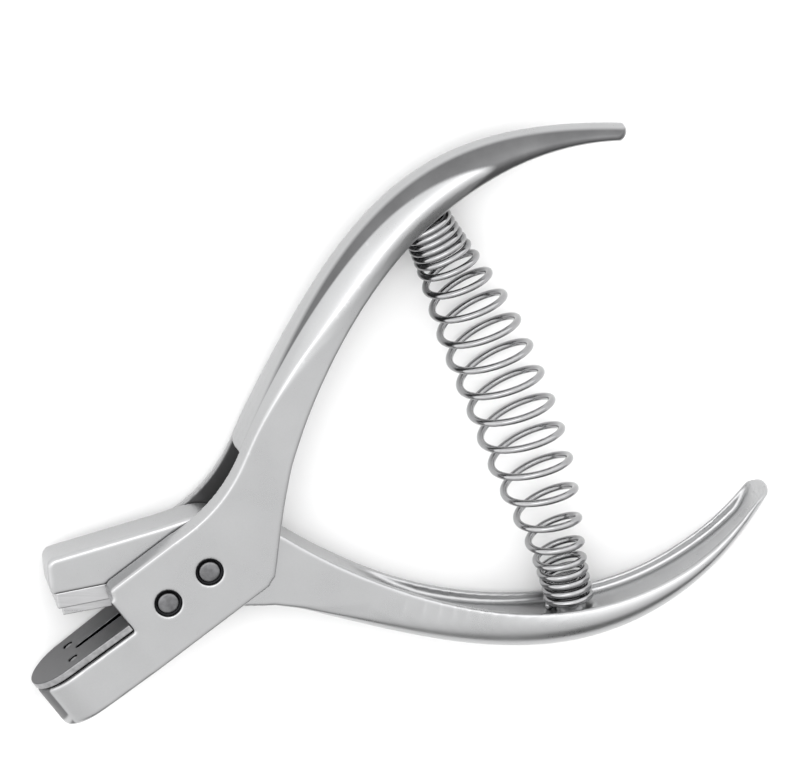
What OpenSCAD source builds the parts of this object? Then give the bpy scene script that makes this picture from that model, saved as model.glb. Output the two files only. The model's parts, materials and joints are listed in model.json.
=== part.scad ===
// Slot punch pliers: a hand punch that cuts one long slot in card or sheet.
// Two cast levers cross at a pivot pin. The die lever carries the lower jaw, the two cheeks and
// the upper handle. The punch lever carries the upper jaw and the lower handle.
// The tool lies flat: Z is the pivot direction, the jaws point to -X, the handles to +X.
// Closing turns the punch lever anticlockwise about the pivot.

/* [Show] */
// sub-part to draw

/* [Head] */
// full width across the two cheeks
head_w = 17; // [12:0.5:24]
// thickness of one cheek
cheek_t = 3.7; // [2.5:0.1:6]
// direction of the lower jaw and of the line through both pins, degrees above -X
head_angle = 38; // [30:0.5:45]
// distance between the pivot pin and the stop pin
pin_span = 10.6; // [8:0.1:14]
// radius of the upper edge of the cheeks, measured from the pivot line
cheek_rise = 11.0; // [9:0.1:14]
// distance from the pivot to the front face of the cheeks
cheek_front = 9.0; // [8.6:0.1:11]

/* [Lower jaw] */
// distance from the pivot to the jaw tip
jaw_reach = 32.7; // [26:0.1:40]
// depth of the jaw below the pivot line
jaw_depth = 10.45; // [8:0.05:13]
// jaw width where the round tip begins
jaw_tip_w = 15.4; // [12:0.1:17]
// length of the round tip
jaw_tip_len = 8.2; // [5:0.1:10]
// radius of the lower front corner
jaw_corner_r = 1.5; // [1:0.5:6]

/* [Die] */
// height of the cutting face above the pivot line
die_rise = 1.5; // [1:0.1:3]
// thickness of the die plate
die_t = 1.5; // [1:0.1:3]
// height of the shadow gap under the rim of the die plate
die_gap = 0.5; // [0.2:0.1:1]
// distance from the pivot to the far end of the slot
slot_reach = 21.3; // [16:0.1:26]
// slot width at its tip
slot_tip_w = 1.5; // [1:0.1:4]
// slot width at its open end
slot_mouth_w = 2.2; // [1:0.1:4]
// distance from the pivot to the two dowels
dowel_reach = 22.7; // [18:0.1:28]
// distance between the two dowels
dowel_span = 7.8; // [5:0.1:11]
// dowel diameter
dowel_d = 2.2; // [1.5:0.1:3]

/* [Punch] */
// how far the jaws open, degrees
open_angle = 27.7; // [15:0.1:35]
// width of the punch lever where it runs between the cheeks
lever_w = 9; // [6:0.1:12]
// distance from the pivot to the tip of the upper jaw
upper_reach = 22.8; // [18:0.1:30]
// height of the upper jaw above the pivot line at its tip
upper_top = 13.2; // [10:0.1:16]
// height of the seat of the punch block above the pivot line
block_seat = 5.2; // [4:0.1:8]
// gap left over the die when the jaws are closed
closed_gap = 0.3; // [0.1:0.05:1]
// radius of the hub round the pivot
hub_r = 8.2; // [6:0.1:8.6]
// how far the blade stands out of the punch block
blade_proud = 2.8; // [1.5:0.1:4]
// clearance of the blade in the slot, each side
blade_gap = 0.3; // [0.1:0.05:0.5]

/* [Pins] */
// diameter of the pivot pin and of the stop pin
pin_d = 4.3; // [3:0.1:6]
// diameter of the sunk ring round each pin end
ring_d = 5.7; // [5:0.1:8]
// depth of the sunk ring
ring_t = 0.7; // [0.3:0.1:1.5]
// running clearance of the pivot pin in the punch lever, on the radius
run_gap = 0.05; // [0.02:0.01:0.1]

/* [Handles] */
// half width of the lower handle where it is widest
grip_half_w = 8.3; // [6:0.1:8.5]
// wall of the hollow handles
wall = 2.6; // [2:0.1:4]
// half width of the upper handle near its tip
upper_tip_half_w = 3.4; // [3:0.1:8]
// depth of the trough in the lower handle
trough_depth = 2.0; // [1:0.1:5]

/* [Return spring] */
// wire diameter
wire_d = 1.5; // [0.8:0.1:2]
// mean coil radius at the upper end
coil_r_top = 4.9; // [3:0.1:8]
// mean coil radius at the widest coil
coil_r_mid = 8.3; // [5:0.1:10]
// mean coil radius at the lower end
coil_r_end = 4.4; // [3:0.1:8]
// number of coils
coils = 23; // [15:1:30]
// closed coils at the upper end
coils_top = 4.5; // [1:0.5:8]
// closed coils at the lower end
coils_end = 6; // [1:0.5:8]
// pitch of the open coils over the pitch of the closed ones
open_share = 3.3; // [1.5:0.1:5]

/* [Hidden] */

mid_z = head_w / 2;
pivot = -pin_span / 2 * [cos(head_angle), sin(head_angle)];
channel_half = head_w / 2 - cheek_t;
punch_angle = head_angle - open_angle;
block_low = die_rise + closed_gap;
stop_slot_r = pin_d / 2 + 0.3;
cast_turn = 30;

steel = [0.72, 0.73, 0.74];
dark_steel = [0.36, 0.37, 0.39];
bright_steel = [0.85, 0.86, 0.87];

// ---- curves, in a frame with its origin on the pivot ----

// rim of each handle, the edge that faces the other handle
upper_rim = [[24.8, 28.5], [35.4, 71.3], [63.4, 95.6], [92.8, 94.9]];
lower_rim = [[24.3, 12.1], [57.1, -9.1], [97.7, -14.2], [121.4, 18.0]];
// crown of each handle, the line along its back
upper_crown = [[13.4, 30.0], [34.7, 84.5], [50.8, 100.0], [93.3, 97.9]];
lower_crown = [[22.5, -2.6], [56.5, -12.2], [98.5, -29.6], [126.1, 21.7]];
// centre line of the return spring
spring_line = [[51.8, 78.3], [63.0, 59.0], [77.8, 25.0], [84.5, -6.0]];

function bez(c, t) = pow(1 - t, 3) * c[0] + 3 * pow(1 - t, 2) * t * c[1]
                   + 3 * (1 - t) * t * t * c[2] + pow(t, 3) * c[3];
function bez_pts(c, n) = [for (i = [0:n]) bez(c, i / n)];
function unit(v) = v / norm(v);
function ramp(t, a, b) = let (u = min(1, max(0, (t - a) / (b - a)))) u * u * (3 - 2 * u);
function mix(a, b, u) = a + (b - a) * u;
// a point given along and above the lower jaw, turned into the main frame
function jaw_pt(x, y) = [x * cos(head_angle) - y * sin(head_angle),
                         x * sin(head_angle) + y * cos(head_angle)];
// the same for the upper jaw at rest
function punch_pt(x, y) = [x * cos(punch_angle) - y * sin(punch_angle),
                           x * sin(punch_angle) + y * cos(punch_angle)];
function tip_round(t, t1) = t < t1 ? 1 : sqrt(max(0.03, 1 - pow((t - t1) / (1 - t1), 2)));
function spow(v, e) = sign(v) * pow(abs(v), e);

// ---- hollow handle: a row of channel sections from the head to the tip ----

// half width, roundness of the back and depth of the hollow along each handle
function upper_half_w(t) = mix(mid_z - 0.04, upper_tip_half_w, ramp(t, 0.3, 1.05)) * tip_round(t, 0.96);
function upper_power(t) = mix(7, 2.2, ramp(t, 0, 0.5));
function upper_hollow(t) = 12 * (0.97 - ramp(t, 0.6, 0.97));
function lower_half_w(t) = mix(lever_w / 2 - 0.05, grip_half_w, ramp(t, 0.16, 0.62)) * tip_round(t, 0.93)
                         * mix(1, 0.9, ramp(t, 0.8, 0.95));
function lower_power(t) = mix(7, 2.6, ramp(t, 0.1, 0.5));
function lower_hollow(t) = trough_depth * (ramp(t, 0.08, 0.3) - ramp(t, 0.92, 1));

// one section: out along the back, then back through the hollow
function channel_ring(rim, crown, half_w, power, hollow, n_out, n_in) =
    let (deep = norm(crown - rim),
         up = unit(crown - rim),
         in_w = half_w - min(wall, half_w * 0.4),
         in_deep = max(0.12, min(deep - min(wall, deep * 0.5), hollow)))
    concat(
        [for (i = [0:n_out]) let (a = 180 * i / n_out, h = deep * spow(sin(a), 2 / power))
            [rim[0] + up[0] * h, rim[1] + up[1] * h, mid_z - half_w * spow(cos(a), 2 / power)]],
        [for (i = [0:n_in]) let (a = 180 - 180 * i / n_in, h = in_deep * spow(sin(a), 2 / 3))
            [rim[0] + up[0] * h, rim[1] + up[1] * h, mid_z - in_w * spow(cos(a), 2 / 3)]]);

module ring_skin(rings, flip) {
    n = len(rings[0]);
    m = len(rings);
    sides = [for (j = [0:m - 2]) for (k = [0:n - 1]) for (half = [0, 1])
        let (a = j * n + k, b = j * n + (k + 1) % n, c = a + n, d = b + n)
        half == 0 ? [a, b, d] : [a, d, c]];
    ends = [[for (k = [0:n - 1]) n - 1 - k], [for (k = [0:n - 1]) (m - 1) * n + k]];
    faces = concat(sides, ends);
    polyhedron(points = [for (r = rings) for (p = r) p],
               faces = flip ? [for (f = faces) [for (k = [0:len(f) - 1]) f[len(f) - 1 - k]]] : faces,
               convexity = 6);
}

module upper_handle() {
    n = 30;
    ring_skin([for (i = [0:n]) let (t = 1 - pow(1 - i / n, 1.3))
        channel_ring(bez(upper_rim, t),
                     mix(bez(upper_rim, t), bez(upper_crown, t), tip_round(t, 0.97)),
                     upper_half_w(t), upper_power(t), upper_hollow(t), 16, 8)], true);
}

module lower_handle() {
    n = 30;
    ring_skin([for (i = [0:n])
        let (t = 1 - pow(1 - i / n, 1.3),
             share = (1 - tip_round(t, 0.96)) / 2,
             rim = bez(lower_rim, t),
             crown = bez(lower_crown, t))
        channel_ring(mix(rim, crown, share), mix(crown, rim, share),
                     lower_half_w(t), lower_power(t), lower_hollow(t), 16, 8)], false);
}

// ---- shared placing ----

module from_pivot() {
    translate([pivot[0], pivot[1], 0])
        children();
}

// jaw frame: -X along the lower jaw, Y square to the die
module jaw_frame() {
    from_pivot()
        rotate([0, 0, head_angle])
            children();
}

// punch frame: -X along the upper jaw, Y square to the punch face
module punch_frame() {
    from_pivot()
        rotate([0, 0, punch_angle])
            children();
}

// a plate of a given outline, centred on the middle plane
module mid_plate(w) {
    translate([0, 0, mid_z - w / 2])
        linear_extrude(w)
            children();
}

// a rod along the middle plane from one point towards another
module rod(from, dir, r, length) {
    translate([from[0], from[1], mid_z])
        rotate([0, 0, atan2(dir[1], dir[0])])
            rotate([0, 90, 0])
                cylinder(h = length, r = r, $fn = 48);
}

// ---- die lever ----

module jaw_plan(inset, back) {
    half_tip = jaw_tip_w / 2 - inset;
    half_back = head_w / 2 - inset;
    tip_start = jaw_reach - jaw_tip_len;
    taper_start = cheek_front + 1;
    polygon(concat(
        [[-back, half_back], [-taper_start, half_back]],
        [for (a = [90:6:270]) [-tip_start + (jaw_tip_len - inset) * cos(a), half_tip * sin(a)]],
        [[-taper_start, -half_back], [-back, -half_back]]));
}

// the jaw plan stood up between two heights of the jaw frame
module jaw_slab(low, high, inset, back) {
    translate([0, high, mid_z])
        rotate([90, 0, 0])
            linear_extrude(high - low)
                jaw_plan(inset, back);
}

// side view of the lower jaw, the cheeks and the root of the upper handle, in one outline
module die_side() {
    tip = [-jaw_reach - 1, -die_gap];
    polygon(concat(
        [jaw_pt(tip[0], tip[1]), jaw_pt(-cheek_front, tip[1]),
         jaw_pt(-cheek_front, 8.8), jaw_pt(-8.7, 10.1), jaw_pt(-7.8, 10.8), jaw_pt(-7, cheek_rise)],
        bez_pts([jaw_pt(9, cheek_rise), [6, 18.2], [10.3, 22.5], [13.45, 29.9]], 8),
        [[14.3, 31.3], [24.8, 29.4]],
        bez_pts([[24.7, 27.9], [23.4, 21], [22.7, 14], [22.2, 7.6]], 5),
        [[21.9, 5.0], [21.3, 4.1], jaw_pt(18.2, -jaw_depth)],
        [for (a = [270:-15:180])
            jaw_pt(-jaw_reach + jaw_corner_r * (1 + cos(a)), -jaw_depth + jaw_corner_r * (1 + sin(a)))]));
}

// the room between the cheeks, where the punch lever swings
module channel_side() {
    circle(r = hub_r + 0.3, $fn = 72);
    polygon([jaw_pt(-cheek_front - 0.5, -0.65), jaw_pt(-cheek_front - 0.5, 16), [4, 36], [30, 36],
             [30, -14], jaw_pt(-3, -14), jaw_pt(-3, -4), jaw_pt(-6, -0.65)]);
}

module head_block() {
    difference() {
        intersection() {
            linear_extrude(head_w)
                die_side();
            union() {
                rotate([0, 0, head_angle]) {
                    jaw_slab(-jaw_depth - 1, 1, 0, cheek_front - 0.5);
                    translate([-cheek_front - 0.5, -jaw_depth - 1, -1])
                        cube([70, 60, head_w + 2]);
                }
            }
        }
        mid_plate(2 * channel_half)
            channel_side();
    }
}

// joins the pieces of a casting into one skin
module one_casting() {
    minkowski() {
        union() children();
    }
}

module pin_bores(d) {
    for (side = [-1, 1])
        translate(side * [pivot[0], pivot[1], 0])
            translate([0, 0, -1])
                cylinder(h = head_w + 2, d = d, $fn = 48);
}

module die_casting() {
    difference() {
        from_pivot() {
            head_block();
            upper_handle();
            upper_boss();
            rotate([0, 0, head_angle])
                jaw_slab(-die_gap - 0.3, 0, 0.7, cheek_front + 0.4);
        }
        jaw_frame() {
            slug_chute();
            dowel_holes(die_rise + 1, -jaw_depth + 3, 0.12);
        }
    }
}

module die_lever() {
    color(steel)
        difference() {
            one_casting()
                die_casting();
            pin_bores(pin_d);
            // sunk ring round each pin end
            for (side = [-1, 1], z = [-1, head_w - ring_t])
                translate([side * pivot[0], side * pivot[1], z])
                    cylinder(h = ring_t + 1, d = ring_d, $fn = 48);
        }
}

// opening under the slot, where the punched slugs fall out
module slug_chute() {
    r = 2;
    for (x = [-slot_reach + r - 0.5, -cheek_front - r - 0.6])
        translate([x, 1, mid_z])
            rotate([90, 0, 0])
                cylinder(h = jaw_depth + 2, r = r, $fn = 32);
    translate([-slot_reach + r - 0.5, -jaw_depth - 1, mid_z - r])
        cube([slot_reach - cheek_front - 2 * r - 0.1, jaw_depth + 2, 2 * r]);
}

module dowel_holes(high, low, gap) {
    for (side = [-1, 1])
        translate([-dowel_reach, high, mid_z + side * dowel_span / 2])
            rotate([90, 0, 0])
                cylinder(h = high - low, d = dowel_d + gap, $fn = 32);
}

// flat seat of the spring inside the upper handle
spring_top = spring_line[0];
spring_top_dir = unit(spring_line[1] - spring_line[0]);
spring_end = spring_line[3];
spring_end_dir = unit(spring_line[2] - spring_line[3]);

module upper_boss() {
    rod(spring_top, -spring_top_dir, 5.0, 6.5);
}

module lower_boss() {
    rod(spring_end, -spring_end_dir, 5.2, 3.2);
}

// ---- die plate ----

module slot_outline(gap) {
    tip = slot_reach - gap;
    polygon([[-tip, 0], [-tip + 0.9, slot_tip_w / 2 - gap], [-cheek_front + 1, slot_mouth_w / 2 - gap],
             [-cheek_front + 1, -slot_mouth_w / 2 + gap], [-tip + 0.9, -slot_tip_w / 2 + gap]]);
}

module die_plate() {
    color(dark_steel)
        jaw_frame()
            difference() {
                jaw_slab(0, die_t, 0, cheek_front + 0.05);
                translate([0, die_t + 1, mid_z])
                    rotate([90, 0, 0])
                        linear_extrude(die_t + 2)
                            slot_outline(0);
                dowel_holes(die_rise + 1, -1, 0);
            }
}

module die_dowels() {
    color(bright_steel)
        jaw_frame()
            dowel_holes(die_rise - 0.3, -jaw_depth + 3.2, 0);
}

// ---- pins ----

module pin() {
    translate([0, 0, 0.2])
        cylinder(h = head_w - 0.4, d = pin_d, $fn = 48);
}

module pivot_pin() {
    color(dark_steel)
        translate(pivot)
            pin();
}

module stop_pin() {
    color(dark_steel)
        translate(-pivot)
            pin();
}

// ---- punch lever ----

module lever_outline() {
    jaw_top = upper_top;
    polygon(concat(
        [punch_pt(-upper_reach, block_seat), punch_pt(-upper_reach - 0.3, block_seat + 1.6)],
        [for (a = [180:-15:90])
            punch_pt(-upper_reach + 1.9 + 2 * cos(a), jaw_top - 2.3 + 2 * sin(a))],
        bez_pts([[-1.5, 15.1], [3.5, 16.6], [6.5, 18.2], [10.5, 16.8]], 6),
        bez_pts([[13, 16], [17, 15.4], [21, 14], [24.2, 11.6]], 5),
        [[25.3, 10.6], [24.2, -1.9], [22.1, -2.3], [15.5, -2.5]],
        [for (a = [-48:-14:-160]) hub_r * [cos(a), sin(a)]],
        [punch_pt(-9.6, block_seat - 2.2), punch_pt(-9.8, block_seat)]));
}

// arc slot in which the stop pin runs
module stop_slot() {
    for (a = [head_angle, head_angle - open_angle])
        translate([pin_span * cos(a), pin_span * sin(a), -1])
            cylinder(h = head_w + 2, r = stop_slot_r, $fn = 48);
    rotate([0, 0, head_angle - open_angle])
        translate([0, 0, -1])
            rotate_extrude(angle = open_angle, $fn = 96)
                translate([pin_span - stop_slot_r, 0])
                    square([2 * stop_slot_r, head_w + 2]);
}

module punch_casting() {
    difference() {
        from_pivot() {
            mid_plate(lever_w)
                lever_outline();
            lower_handle();
            lower_boss();
        }
        from_pivot()
            stop_slot();
        punch_frame()
            block_tongue(0);
    }
}

module punch_lever() {
    color(steel)
        difference() {
            // joined a little turned, so that no wall of the hub lies along an axis
            rotate([0, 0, -cast_turn])
                one_casting()
                    rotate([0, 0, cast_turn])
                        punch_casting();
            translate([pivot[0], pivot[1], -1])
                cylinder(h = head_w + 2, r = pin_d / 2 + run_gap, $fn = 48);
        }
}

// ---- punch block and blade ----

block_back = cheek_front + 1.2;
block_tip = upper_reach - 0.7;

module block_tongue(gap) {
    translate([-block_tip + 3, block_seat - 0.01, mid_z - 2])
        cube([block_tip - block_back - 6, 2.5 - gap, 4]);
}

module punch_block() {
    color(steel)
        punch_frame()
            difference() {
                union() {
                    translate([-block_tip, block_low, mid_z - lever_w / 2 + 0.5])
                        cube([block_tip - block_back, block_seat - block_low, lever_w - 1]);
                    block_tongue(0.1);
                }
                translate([0, block_low - 1, 0])
                    blade_solid(3);
            }
}

module blade_solid(height) {
    translate([0, height, mid_z])
        rotate([90, 0, 0])
            linear_extrude(height)
                intersection() {
                    slot_outline(blade_gap);
                    translate([-slot_reach, -3])
                        square([slot_reach - block_back - 0.6, 6]);
                }
}

module slot_blade() {
    color(bright_steel)
        punch_frame()
            translate([0, block_low - blade_proud, 0])
                blade_solid(blade_proud + 2);
}

// ---- return spring ----

// pitch at each turn from the upper end, as a share of the closed pitch
function pitch_share(n) = 1 + (open_share - 1) * ramp(n, coils_top, coils_top + 3.5)
                        * (1 - ramp(n, coils - coils_end - 1.5, coils - coils_end + 2.5));
line_len = norm(spring_line[3] - spring_line[0]) * 1.012;
coil_start = wire_d * 0.6 / line_len;
function coil_r(s) =
    s < 0.5 ? mix(coil_r_top, coil_r_mid, sin(90 * ramp(s, 0.02, 0.5)))
            : mix(coil_r_end, coil_r_mid, sin(90 * ramp(1 - s, 0.04, 0.5)));

module return_spring() {
    per_turn = 12;
    sides = 6;
    n = coils * per_turn;
    climb = [for (i = 0, c = 0; i <= n; c = c + pitch_share(i / per_turn), i = i + 1) c];
    rings = [for (i = [0:n]) let (
        u = i / n,
        s = mix(coil_start, 1 - coil_start, climb[i] / climb[n]),
        c = bez(spring_line, s),
        ahead = unit(bez(spring_line, min(1, s + 0.01)) - bez(spring_line, max(0, s - 0.01))),
        side = [ahead[1], -ahead[0]],
        a = 360 * coils * u,
        r = coil_r(s))
        [for (k = [0:sides - 1]) let (
            b = 360 * k / sides,
            rr = r + wire_d / 2 * cos(b),
            h = wire_d / 2 * sin(b))
            [c[0] + side[0] * rr * cos(a) + ahead[0] * h,
             c[1] + side[1] * rr * cos(a) + ahead[1] * h,
             mid_z + rr * sin(a)]]];
    color(bright_steel)
        from_pivot()
            ring_skin(rings, true);
}

// ---- spring studs ----

module upper_spring_stud() {
    color(steel)
        from_pivot()
            rod(spring_top, spring_top_dir, coil_r_top - wire_d / 2 - 0.4, 7);
}

module lower_spring_stud() {
    color(steel)
        from_pivot()
            rod(spring_end, spring_end_dir, coil_r_end - wire_d / 2 - 0.4, 7);
}

die_lever();
die_plate();
die_dowels();
pivot_pin();
stop_pin();
upper_spring_stud();
return_spring();
punch_lever();
punch_block();
slot_blade();
lower_spring_stud();
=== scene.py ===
import json
import math

import bmesh
import bpy
import numpy as np
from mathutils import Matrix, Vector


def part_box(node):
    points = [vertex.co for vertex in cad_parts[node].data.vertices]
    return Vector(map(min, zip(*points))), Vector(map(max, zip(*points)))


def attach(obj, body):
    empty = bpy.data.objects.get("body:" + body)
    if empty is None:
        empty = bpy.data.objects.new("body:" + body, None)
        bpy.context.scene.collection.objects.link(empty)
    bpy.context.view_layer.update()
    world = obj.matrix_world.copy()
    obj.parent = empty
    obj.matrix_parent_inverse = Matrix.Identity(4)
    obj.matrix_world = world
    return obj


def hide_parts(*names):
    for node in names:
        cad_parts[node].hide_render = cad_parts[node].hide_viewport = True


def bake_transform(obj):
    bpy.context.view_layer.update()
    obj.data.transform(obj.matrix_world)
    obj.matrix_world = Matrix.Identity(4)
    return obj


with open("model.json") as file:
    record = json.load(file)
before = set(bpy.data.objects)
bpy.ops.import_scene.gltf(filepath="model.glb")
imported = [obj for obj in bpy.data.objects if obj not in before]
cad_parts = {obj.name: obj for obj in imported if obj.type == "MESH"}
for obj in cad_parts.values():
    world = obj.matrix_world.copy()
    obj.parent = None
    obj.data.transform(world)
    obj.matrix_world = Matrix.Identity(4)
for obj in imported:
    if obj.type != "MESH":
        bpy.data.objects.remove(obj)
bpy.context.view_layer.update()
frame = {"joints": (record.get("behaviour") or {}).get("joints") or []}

import openvdb
from mathutils import Matrix, Vector

MM = 0.001

# ---------------------------------------------------------------- sizes, in millimetres
# The same driving sizes as the CAD source, in its frame with the pivot at the origin.

joint = frame["joints"][0]
pivot = Vector(joint["pos_m"]) / MM
low, high = (Vector(v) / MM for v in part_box("die_lever"))
# the head: its full width, the punch lever's width and half of the room between the cheeks
HEAD_W = high.z - low.z
MID_Z = (low.z + high.z) / 2
LEVER_W = 9.0
CHANNEL_HALF = 4.8
# slope of the die, and of the punch face with the tool open
HEAD_ANGLE = math.radians(38)
PUNCH_ANGLE = math.radians(38 - 27.7)
# the two pins, and the sunk ring round each of their ends
PIN_SPAN = 10.6
PIN_D = 4.3
RING_D = 5.7
RING_DEPTH = 0.7
# the lower jaw, measured back from the pivot and down from the die's seat
JAW_REACH = 32.7
JAW_DEPTH = 10.45
JAW_TIP_W = 15.4
JAW_TIP_LEN = 8.2
CHEEK_FRONT = 9.0
CHEEK_RISE = 11.0
# the die plate, its slot and its dowels
DIE_T = 1.5
DIE_GAP = 0.5
SLOT_REACH = 21.3
SLOT_TIP_W = 1.5
SLOT_MOUTH_W = 2.2
DOWEL_REACH = 22.7
DOWEL_SPAN = 7.8
DOWEL_D = 2.2
DOWEL_DEPTH = 7.25
# the punch lever, its block and its blade
HUB_R = 8.2
UPPER_REACH = 22.8
UPPER_TOP = 13.2
BLOCK_SEAT = 5.2
BLOCK_LOW = 1.8
BLOCK_BACK = CHEEK_FRONT + 1.2
BLOCK_TIP = UPPER_REACH - 0.7
BLADE_PROUD = 2.8
# half widths of the handles
UPPER_TIP_HALF = 3.4
GRIP_HALF = 8.3
TROUGH_DEPTH = 2.0
# the spring: its wire, its coil radii, its number of turns and its closed ends
WIRE_D = 1.5
COIL_TOP, COIL_MID, COIL_END = 4.9, 8.3, 4.4
COILS, CLOSED_TOP, CLOSED_END, OPEN_SHARE = 23, 4.5, 6, 3.3
# the studs that the spring sits on: straight length and rounding of the end
PEG_SHANK, PEG_ROUND = 5.6, 1.3
# the casting bosses behind the spring: radius and length
UPPER_BOSS = (5.0, 6.5)
LOWER_BOSS = (5.2, 3.2)
# size of a cell in the castings' grids
VOXEL = 0.3

UPPER_RIM = [(24.8, 28.5), (35.4, 71.3), (63.4, 95.6), (92.8, 94.9)]
UPPER_CROWN = [(13.4, 30.0), (34.7, 84.5), (50.8, 100.0), (93.3, 97.9)]
LOWER_RIM = [(24.3, 12.1), (57.1, -9.1), (97.7, -14.2), (121.4, 18.0)]
LOWER_CROWN = [(22.5, -2.6), (56.5, -12.2), (98.5, -29.6), (126.1, 21.7)]
SPRING_LINE = [(51.8, 78.3), (63.0, 59.0), (77.8, 25.0), (84.5, -6.0)]


def bezier(points, t):
    """Points of a cubic curve at the places t."""
    p = np.array(points, float)
    t = np.atleast_1d(np.asarray(t, float))[:, None]
    return (1 - t) ** 3 * p[0] + 3 * (1 - t) ** 2 * t * p[1] + 3 * (1 - t) * t**2 * p[2] + t**3 * p[3]


def turned(points, angle):
    """Points given along and above a jaw, turned into the pivot frame."""
    p = np.atleast_2d(np.array(points, float))
    c, s = math.cos(angle), math.sin(angle)
    return np.stack([p[:, 0] * c - p[:, 1] * s, p[:, 0] * s + p[:, 1] * c], 1)


def ramp(t, a, b):
    u = np.clip((t - a) / (b - a), 0, 1)
    return u * u * (3 - 2 * u)


def mix(a, b, u):
    return a + (b - a) * u


# ---------------------------------------------------------------- solids from distance fields


def to_chain(x, y, chain):
    """Distance from each point to a line through the chain's points, and how far along it is."""
    best = np.full(x.shape, 1e9)
    place = np.zeros(x.shape)
    steps = len(chain) - 1
    for i in range(steps):
        (ax, ay), (bx, by) = chain[i], chain[i + 1]
        dx, dy = bx - ax, by - ay
        u = np.clip(((x - ax) * dx + (y - ay) * dy) / (dx * dx + dy * dy + 1e-12), 0, 1)
        d = np.hypot(x - ax - u * dx, y - ay - u * dy)
        near = d < best
        best[near] = d[near]
        place[near] = (i + u[near]) / steps
    return best, place


def inside(x, y, outline):
    """True where a point lies within a closed outline."""
    within = np.zeros(x.shape, bool)
    for (ax, ay), (bx, by) in zip(outline, np.roll(outline, -1, axis=0)):
        if ay == by:
            continue
        within ^= ((ay > y) != (by > y)) & (x < (bx - ax) * (y - ay) / (by - ay) + ax)
    return within


def to_outline(x, y, outline):
    """Signed distance to a closed outline, negative inside."""
    d, _ = to_chain(x, y, np.vstack([outline, outline[:1]]))
    return np.where(inside(x, y, outline), -d, d)


def corner(a, b, r):
    """Two half spaces meeting in an edge of radius r."""
    inner = np.minimum(np.maximum(a + r, b + r), 0)
    return inner + np.hypot(np.maximum(a + r, 0), np.maximum(b + r, 0)) - r


def joined(a, b, k):
    """Two solids joined with a fillet of about k."""
    h = np.clip(0.5 + 0.5 * (b - a) / k, 0, 1)
    return b + (a - b) * h - k * h * (1 - h)


def cut(a, b, k):
    """Solid a without solid b, with a softened edge."""
    return -joined(-a, b, k)


def rod_field(x, y, z, start, ahead, radius, length):
    """A rod in the middle plane, from a point along a direction."""
    s = (x - start[0]) * ahead[0] + (y - start[1]) * ahead[1]
    off = (y - start[1]) * ahead[0] - (x - start[0]) * ahead[1]
    return corner(np.hypot(off, z) - radius, np.maximum(-s, s - length), 0.35)


def field_object(name, outline, field, angle, half_w, voxel):
    """Mesh of the surface where the field is zero.

    The grid lies along a jaw. Only one half is worked out, and it is mirrored in the middle plane.
    """
    margin = 1.2
    local = turned(outline, -angle)
    axes = [np.arange(local[:, i].min() - margin, local[:, i].max() + margin, voxel) for i in (0, 1)]
    gx, gy = np.meshgrid(*axes, indexing="ij")
    at = turned(np.stack([gx.ravel(), gy.ravel()], 1), angle)
    edge = to_outline(at[:, 0], at[:, 1], outline)
    near = edge < margin
    z = np.arange(0, half_w + 3 * voxel, voxel)
    x, y = at[near, 0][:, None], at[near, 1][:, None]
    found = np.clip(field(x, y, z[None, :], edge[near][:, None]), -3 * voxel, 3 * voxel)
    values = np.full((gx.size, len(z)), 3 * voxel, np.float32)
    values[near] = found
    values = values.reshape(*gx.shape, len(z))
    values = np.concatenate([values[:, :, :0:-1], values], axis=2)
    grid = openvdb.FloatGrid(3 * voxel)
    grid.copyFromArray(values)
    points, quads = grid.convertToQuads(0.0)
    points = points * voxel + np.array([axes[0][0], axes[1][0], -z[-1]])
    points[:, :2] = turned(points[:, :2], angle)
    points += np.array([pivot.x, pivot.y, MID_Z])
    return mesh_object(name, points, quads[:, ::-1])


def mesh_object(name, points, faces):
    """A smooth mesh from points in millimetres."""
    mesh = bpy.data.meshes.new(name)
    faces = [tuple(face) for face in np.asarray(faces).tolist()]
    mesh.from_pydata((np.asarray(points) * MM).tolist(), [], faces)
    mesh.validate()
    mesh.shade_smooth()
    obj = bpy.data.objects.new(name, mesh)
    bpy.context.scene.collection.objects.link(obj)
    return obj


# ---------------------------------------------------------------- the two castings


def handle_map(x, y, rim, crown):
    """Distances to the rim and the crown of a handle, the place along it and its depth there."""
    t = np.linspace(0, 1, 120)
    rim_d, _ = to_chain(x, y, bezier(rim, t))
    crown_d, _ = to_chain(x, y, bezier(crown, t))
    _, place = to_chain(x, y, (bezier(rim, t) + bezier(crown, t)) / 2)
    gap = bezier(crown, place.ravel()) - bezier(rim, place.ravel())
    return rim_d, crown_d, place, np.hypot(gap[:, 0], gap[:, 1]).reshape(place.shape)


def crowned(side, z, half, depth_in, deep, blend, power, drop, r):
    """Flat sides under an arched back: a low arch with crisp edges, then a full round section."""
    u = np.clip(np.abs(z) / half, 0, 0.995)
    arch = (1 - u**power) ** (1 / power)
    fall = (1 - blend) * drop * u**2 + blend * deep * (1 - arch)
    slope = (1 - blend) * drop * 2 * u + blend * deep * arch ** (1 - power) * u ** (power - 1)
    back = (fall - depth_in) / np.sqrt(1 + (slope / half) ** 2)
    return corner(side, back, r)


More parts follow.
